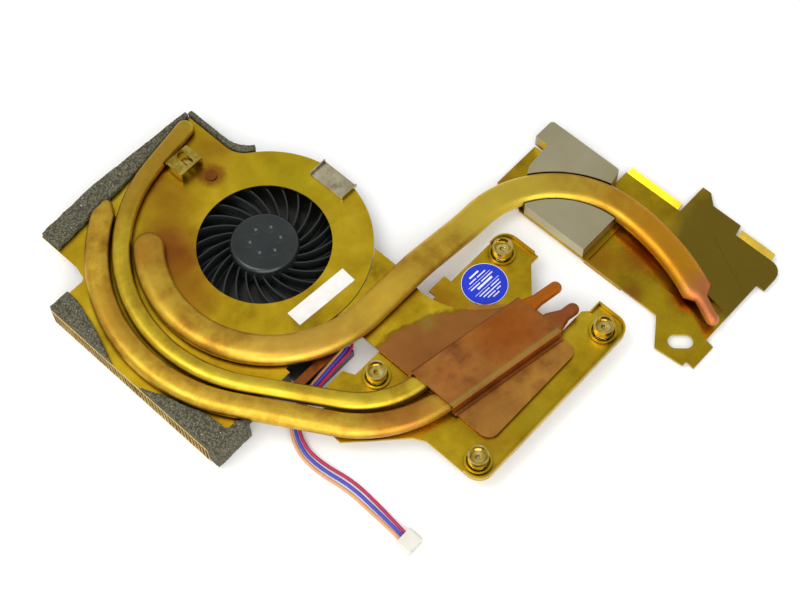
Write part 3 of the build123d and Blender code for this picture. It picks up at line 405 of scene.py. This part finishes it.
# Second plate pipe: the pale gold patches at (56, -40), (-16, -30) and (8, -37) are painted highlights where
# the top catches the light; the rest are stains and copper colour
gpuPipeLook = {
    "tones": pipeTones, "cloud": 10, "roughness": (0.28, 0.44), "grain": 0.6, "depth": 0.02, "dents": 6,
    "crown": 4.2,
    "stainsAndPaintedLight": [(78, -84, 20, 10, "#CC881C", 0.8), (70, -104, 9, 3, "#C4744A", 0.9),
               (-22, 24, 9, 6, "#B07A2E", 0.6), (56, -40, 18, 8, "#DCC044", 0.8),
               (-16, -30, 14, 8, "#D8AC48", 0.7), (8, -37, 9, 6, "#DCB440", 0.7)],
}
dress(tarnishedMetal("copper pipe, drawn and flattened, outer", outerLook), "pipe_outer")
dress(tarnishedMetal("copper pipe, drawn and flattened, middle", middleLook), "pipe_middle")
dress(tarnishedMetal("copper pipe, drawn and flattened, second plate", gpuPipeLook), "pipe_gpu")

# Copper, milled and heated: brown red, dull, with darker oxide clouds
copperLook = {
    "tones": ["#905E2C", "#B07A36", "#BC883C", "#A87034"], "cloud": 9, "roughness": (0.34, 0.50),
    "grain": 0.5, "depth": 0.015,
    "stainsAndPaintedLight": [(22, -68, 8, 5, "#A4601C", 0.7), (4, -80, 7, 5, "#946030", 0.5)],
}
# Copper sheet, folded and soldered: redder, with one paler line along the crease
saddleLook = {
    **copperLook, "tones": ["#86502A", "#A66832", "#B07436", "#9C5E2C"],
    "stainsAndPaintedLight": [(24, -68, 9, 5, "#A2541A", 0.75), (4, -80, 7, 5, "#8E5A2E", 0.5)],
    "streaks": [(0, -72.9, -10, 0.5, 0.4, "#A8964A", 0.65)],
}
# Copper strip, cut and folded: dark brown, dull
strapLook = {"tones": ["#6A3C1C", "#8A5024", "#7A4420"], "cloud": 4, "roughness": (0.35, 0.5), "grain": 0.4,
             "depth": 0.02}
# Copper fin sheet, stamped: pale gold, with painted shade darkening the air ways between the fins brown
finLook = {"tones": ["#BC9C48", "#DCC070", "#ECD898"], "cloud": 3, "roughness": (0.3, 0.5), "grain": 0.3,
           "depth": 0.01, "grimeAndShade": (0.6, "#5A4018", 0.7)}
# Enamelled copper wire, wound: glossy red brown with fine turns
coilLook = {"tones": ["#7A3A14", "#A85A22"], "cloud": 1, "roughness": (0.2, 0.35), "grain": 0.2,
            "depth": 0.05, "lines": (1, 1, 0.2)}
# Bronze, sintered: dull olive brown with fine pores
bearingLook = {"tones": ["#6A5428", "#8A6E38"], "cloud": 1, "roughness": (0.45, 0.6), "grain": 0.15,
               "depth": 0.02}
dress(tarnishedMetal("copper, milled and heated", copperLook), "cpu_slug", "gpu_pad")
dress(tarnishedMetal("copper sheet, folded and soldered", saddleLook), "pipe_saddle")
dress(tarnishedMetal("copper strip, cut and folded", strapLook), "wire_strap", "rivet")
dress(tarnishedMetal("copper fin sheet, stamped", finLook), "rear_fins", "left_fins")
dress(tarnishedMetal("enamelled copper wire, wound", coilLook), "stator_coils")
dress(tarnishedMetal("bronze, sintered", bearingLook), "bearing_sleeve")

# Zinc, cast and tumbled: warm grey silver with a soft shine
blockLook = {"tones": ["#AAA07C", "#B4AB88", "#BCB392"], "cloud": 25, "roughness": (0.34, 0.42), "grain": 0.6,
             "depth": 0.006, "dents": 9}
# Steel sheet, tinned: pale silver with dull smears
clipLook = {"tones": ["#9C9270", "#C0B694", "#DAD2B6"], "cloud": 4, "roughness": (0.20, 0.36), "grain": 0.6,
            "depth": 0.03}
# Steel, turned and nickel plated: warm silver under a brassy gold tarnish, with grime and painted shade
# browning the foot of the cups
screwLook = {"tones": ["#B09430", "#D2BA5E", "#EADFAA"], "cloud": 2.5, "roughness": (0.12, 0.22),
             "grain": 1.0, "depth": 0.003, "lines": (0.2, 0.2, 1), "grimeAndShade": (1.0, "#4A2E10", 0.8)}
screwNumbers = (1, 2, 3, 4)
screwNames = ["screw_%d" % n for n in screwNumbers]
ringNames = ["screw_ring_%d" % n for n in screwNumbers]
screwSteel = tarnishedMetal("steel, turned and nickel plated", screwLook)
dress(tarnishedMetal("zinc, cast and tumbled", blockLook), "chipset_block")
dress(tarnishedMetal("steel sheet, tinned", clipLook), "ground_clip", "plug_pins")
dress(screwSteel, *screwNames, *ringNames, "rotor_yoke", "rotor_shaft", "stator_core")
print("metals set")

# Springs under the screw heads: round wire coils, wound in the part file's spring boxes
springCoil = {"wire": 0.45, "radius": 2.125, "turns": 3, "press": 1.4, "room": 0.04, "stepsPerTurn": 28,
              "sides": 10}


def windSpring(number):
    node = "screw_spring_%d" % number
    low, high = (Vector(corner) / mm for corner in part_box(node))
    centre = (low + high) / 2
    length = high.z - low.z
    half = springCoil["wire"] / 2
    steps, sides = springCoil["turns"] * springCoil["stepsPerTurn"], springCoil["sides"]
    points, faces = [], []
    for n in range(steps + 1):
        turn = 2 * pi * n / springCoil["stepsPerTurn"]
        middle = low.z + half + (length - 2 * half) * n / steps
        for side in range(sides):
            angle = 2 * pi * side / sides
            radius = springCoil["radius"] + half * cos(angle)
            spot = (centre.x + radius * cos(turn), centre.y + radius * sin(turn), middle + half * sin(angle))
            points.append(Vector(spot) * mm)
    for n in range(steps):
        for side in range(sides):
            first, second = n * sides + side, n * sides + (side + 1) % sides
            faces.append((first, first + sides, second + sides, second))
    faces.append(tuple(range(sides)))
    faces.append(tuple(reversed(range(steps * sides, len(points)))))
    mesh = bpy.data.meshes.new(node + "_coil")
    mesh.from_pydata(points, [], faces)
    mesh.polygons.foreach_set("use_smooth", [True] * len(faces))
    mesh.materials.append(screwSteel)
    piece = bpy.data.objects.new(node + "_coil", mesh)
    scene.collection.objects.link(piece)
    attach(piece, "cooler")
    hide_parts(node)
    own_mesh(piece)


for number in screwNumbers:
    windSpring(number)
print("springs wound")


# Plastic, moulded: one colour with a faint cloud and a skin of fine grain
def mouldedPlastic(name, look):
    material, tree, shader, place = startMaterial(name, {"IOR": 1.5})
    cloud = noiseOf(tree, place, 9, 3.0).outputs["Fac"]
    tree.links.new(rampOf(tree, look["tones"], cloud), shader.inputs["Base Color"])
    tree.links.new(rangeOf(tree, cloud, 0.0, 1.0, *look["roughness"]), shader.inputs["Roughness"])
    grain = noiseOf(tree, place, look["grain"], 2.0).outputs["Fac"]
    bumpFrom(tree, shader, grain, look["depth"], 0.2)
    return material


# ABS, moulded: warm black with a fine grain
trayLook = {"tones": ["#16160F", "#201F18"], "roughness": (0.24, 0.36), "grain": 0.4, "depth": 0.015}
# Polyester with glass fibre, moulded: cool black, glossy
fanLook = {"tones": ["#161A19", "#202624"], "roughness": (0.18, 0.28), "grain": 0.8, "depth": 0.004}
# Nylon, moulded: ivory white, satin
plugLook = {"tones": ["#CFCBBE", "#DAD7CC"], "roughness": (0.4, 0.5), "grain": 0.5, "depth": 0.01}
# Circuit board, lacquered: dark green, satin
boardLook = {"tones": ["#1C4A26", "#245C30"], "roughness": (0.3, 0.45), "grain": 0.6, "depth": 0.02}
# Ferrite, bonded and pressed: dark grey, dull
magnetLook = {"tones": ["#1A1A1A", "#262626"], "roughness": (0.6, 0.8), "grain": 0.2, "depth": 0.03}
dress(mouldedPlastic("ABS, moulded, matt black", trayLook), "fan_tray")
dress(mouldedPlastic("glass filled polyester, moulded, glossy black", fanLook), "impeller")
dress(mouldedPlastic("nylon, moulded, white", plugLook), "plug")
dress(mouldedPlastic("circuit board, lacquered", boardLook), "motor_board")
dress(mouldedPlastic("bonded ferrite, pressed", magnetLook), "rotor_magnet")


# Label paper, printed and laminated: flat colour with faint fibres
def labelPaper(name, tones):
    material, tree, shader, place = startMaterial(name, {"Roughness": 0.5, "IOR": 1.45})
    fibre = noiseOf(tree, place, 3.0, 6.0, 0.7).outputs["Fac"]
    tree.links.new(rampOf(tree, tones, fibre), shader.inputs["Base Color"])
    bumpFrom(tree, shader, fibre, 0.02, 0.2)
    return material


dress(labelPaper("white paper, laminated", ["#E0DED6", "#ECEAE4"]), "fan_label")
dress(labelPaper("blue paper, printed", ["#0828B4", "#0C30C8"]), "round_label")

# Print on the round label: a thin pale rim and rows of plain bars, turned as the label lies;
# each bar is (up, along, length, height)
labelPrint = {
    "centre": (32.0, -53.4), "rim": (6.36, 6.5), "turn": -2.0, "lift": 0.02, "ringSteps": 64,
    "bars": [(4.1, 0.0, 3.4, 0.5), (2.9, -1.7, 2.6, 0.32), (2.9, 1.6, 3.2, 0.32), (2.0, 0.0, 8.6, 0.12),
             (1.2, -2.4, 3.6, 0.34), (1.2, 2.1, 4.4, 0.34), (0.2, 0.3, 5.6, 0.62), (-0.9, 0.0, 9.2, 0.12),
             (-1.7, -1.8, 4.0, 0.30), (-1.7, 2.3, 3.2, 0.30), (-2.6, 0.2, 6.8, 0.30),
             (-3.5, -0.9, 3.0, 0.30), (-3.5, 1.9, 1.6, 0.30), (-4.4, 0.0, 2.4, 0.34)],
}


def printLabel():
    points, faces = [], []
    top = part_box("round_label")[1][2] / mm + labelPrint["lift"]
    centre = Vector((*labelPrint["centre"], top))
    spin = Matrix.Rotation(radians(labelPrint["turn"]), 3, "Z")
    ringSteps = labelPrint["ringSteps"]
    for n in range(ringSteps):
        for radius in labelPrint["rim"]:
            angle = 2 * pi * n / ringSteps
            points.append(centre + Vector((radius * cos(angle), radius * sin(angle), 0)))
        faces.append((2 * n, 2 * n + 1, (2 * n + 3) % (2 * ringSteps), (2 * n + 2) % (2 * ringSteps)))
    for up, along, length, high in labelPrint["bars"]:
        start = len(points)
        for x, y in ((-1, -1), (1, -1), (1, 1), (-1, 1)):
            points.append(centre + spin @ Vector((along + x * length / 2, up + y * high / 2, 0)))
        faces.append((start, start + 1, start + 2, start + 3))
    mesh = bpy.data.meshes.new("label_print")
    mesh.from_pydata([point * mm for point in points], [], faces)
    mesh.materials.append(labelPaper("white ink, printed", ["#D8DAE8", "#F0F0F4"]))
    piece = bpy.data.objects.new("label_print", mesh)
    scene.collection.objects.link(piece)
    thick = piece.modifiers.new("ink", "SOLIDIFY")
    thick.thickness = labelPrint["lift"] * mm
    thick.offset = -1
    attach(piece, "cooler")


printLabel()
print("plastics and labels set")


# Polyurethane foam, open cells: dark grey green, with painted shade darkening the gaps between the cells, and
# bright specks of dust
def openCellFoam():
    material, tree, shader, place = startMaterial("polyurethane foam, open cells", {"Roughness": 0.95})
    cellSize, speckSize = 0.55, 0.4
    cells = addNode(tree, "ShaderNodeTexVoronoi", {"Scale": 1 / (cellSize * mm)}, {"Vector": place})
    away = cells.outputs["Distance"]
    # painted shade: darker towards the cell borders
    colour = rampOf(tree, ["#736F58", "#5D5944", "#3C3A2C"], away, 0.1, 0.7)
    dust = noiseOf(tree, place, speckSize, 1.0).outputs["Fac"]
    dusty = layOver(tree, colour, "#D8D8CC", rangeOf(tree, dust, 0.73, 0.77))
    tree.links.new(dusty, shader.inputs["Base Color"])
    bumpFrom(tree, shader, away, 0.2, 0.5)
    return material


# Silicone pad, cast: pale grey, soft and slightly dusty
def siliconePad():
    material, tree, shader, place = startMaterial("silicone pad, cast", {"Roughness": 0.75, "IOR": 1.43})
    dust = noiseOf(tree, place, 1.5, 4.0).outputs["Fac"]
    tree.links.new(rampOf(tree, ["#A8ACB0", "#C0C4C6"], dust), shader.inputs["Base Color"])
    bumpFrom(tree, shader, dust, 0.05, 0.3)
    return material


softPieces = {
    "foam": {"names": ["rear_foam", "side_foam", "left_foam_rear", "left_foam_front"],
             "material": openCellFoam(), "voxel": 0.4, "lump": 0.16, "grain": 0.10, "inset": 0.12,
             "fill": 0.7},
    "thermal_pad": {"names": ["chipset_pad"],
                    "material": siliconePad(), "voxel": 0.4, "lump": 0.05, "grain": 0.03, "inset": 0.03,
                    "fill": 0.9},
}
lumpSize = 3.0
grainSize = 0.5


# remeshes a copy of a soft solid, then roughens it inwards with noise, so that it stays in its box
def shapeSoft(name, look):
    low, high = (Vector(corner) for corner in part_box(name))
    source = nodes[name]
    draft = bpy.data.objects.new(name + "_draft", source.data.copy())
    draft.matrix_world = source.matrix_world
    scene.collection.objects.link(draft)
    remesh = draft.modifiers.new("cells", "REMESH")
    remesh.mode = "VOXEL"
    remesh.voxel_size = look["voxel"] * mm
    remesh.use_smooth_shade = True
    graph = bpy.context.evaluated_depsgraph_get()
    mesh = bpy.data.meshes.new_from_object(draft.evaluated_get(graph))
    mesh.name = name + "_soft"
    bpy.data.objects.remove(draft)
    for vertex in mesh.vertices:
        spot = vertex.co / mm
        lump = noise.noise(spot / lumpSize) * look["lump"]
        grain = noise.noise(spot / grainSize) * look["grain"]
        moved = vertex.co + vertex.normal * (lump + grain - look["inset"]) * mm
        vertex.co = [min(max(c, a), b) for c, a, b in zip(moved, low, high)]
    mesh.materials.clear()
    mesh.materials.append(look["material"])
    piece = bpy.data.objects.new(name + "_soft", mesh)
    scene.collection.objects.link(piece)
    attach(piece, "cooler")
    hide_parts(name)


for slot, look in softPieces.items():
    for name in look["names"]:
        shapeSoft(name, look)
print("soft pieces shaped")

roundEdges(0.16, "fan_cover", "cpu_plate", "gpu_plate", "bridge_sheet", "pipe_saddle", "pipe_bracket",
           "ground_clip", "wire_strap")
roundEdges(0.2, "chipset_block", "cpu_slug", "plug", "fan_tray", *screwNames)
print("edges rounded")
